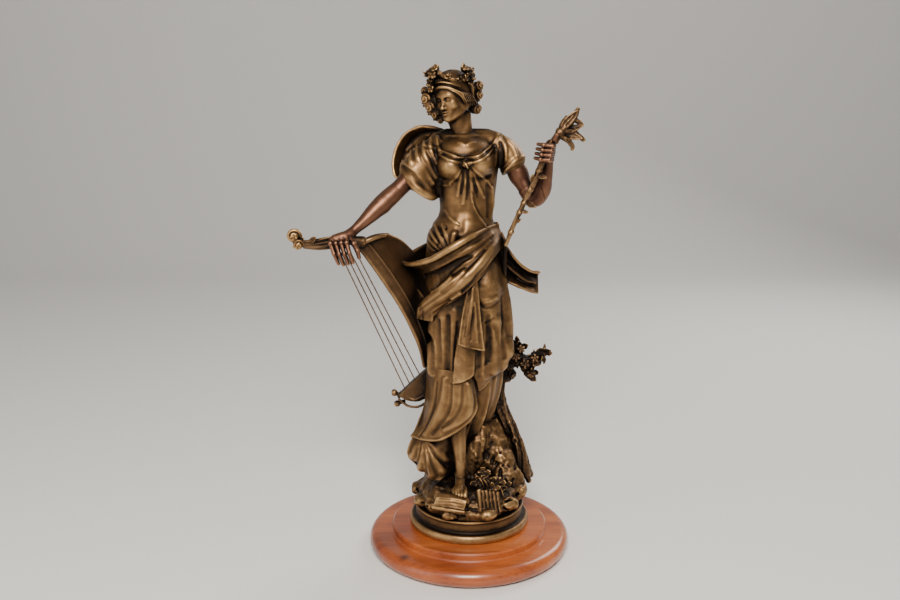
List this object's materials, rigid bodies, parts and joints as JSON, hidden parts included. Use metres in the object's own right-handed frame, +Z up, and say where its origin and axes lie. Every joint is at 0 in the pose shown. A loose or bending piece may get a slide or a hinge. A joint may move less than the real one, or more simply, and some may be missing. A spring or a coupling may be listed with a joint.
{
  "type": "statuette",
  "caption": "Standing draped woman with a harp and a leafy branch, cast in bronze, on a moulded round plinth that turns on a two-step wooden socle.",
  "frame": {"origin": "centre of the felt's underside, on the axis of the round socle", "axes": "+Z up along the socle's axis, -Y the way the figure faces, +X to the right of someone looking at her front"},
  "size_m": [0.2904, 0.218, 0.5189],
  "materials": {
    "bronze": "dark brown patina rubbed golden on the high spots",
    "bronze_dark": "darker reddish brown patina",
    "lacquered_wood": "turned, orange-brown, semi-gloss lacquer",
    "felt": "dense felt",
    "steel": "plain turned steel"
  },
  "bodies": {
    "socle": {"wood_socle": "lacquered_wood", "felt_pad": "felt"},
    "figure": {"bodice": "bronze", "branch_leaves": "bronze", "branch_stem": "bronze", "cross_pins": "steel", "flower_crown": "bronze", "front_panel": "bronze", "harp_finial": "bronze", "harp_foot": "bronze", "harp_neck": "bronze", "harp_soundbox": "bronze", "harp_strings": "bronze", "head": "bronze", "hem_flap": "bronze", "hip_sash": "bronze", "hip_scarf": "bronze", "left_forearm": "bronze_dark", "left_upper_arm": "bronze_dark", "music_scroll": "bronze", "pan_pipes": "bronze", "plinth": "bronze", "right_forearm": "bronze_dark", "right_leg": "bronze", "right_upper_arm": "bronze_dark", "rock": "bronze", "rose_spray": "bronze", "shoulder_scarf": "bronze", "skirt": "bronze", "skirt_flounce": "bronze", "skirt_train": "bronze", "tie_nut": "steel", "tie_rod": "steel", "tie_washer": "steel", "tree_foliage": "bronze", "tree_trunk": "bronze", "waist_collar": "bronze"}
  },
  "joints": [
    {"name": "figure_swivel", "type": "hinge", "parent": "socle", "child": "figure", "pos_m": [0, 0, 0.0285], "axis": [0, 0, 1], "continuous": true}
  ]
}
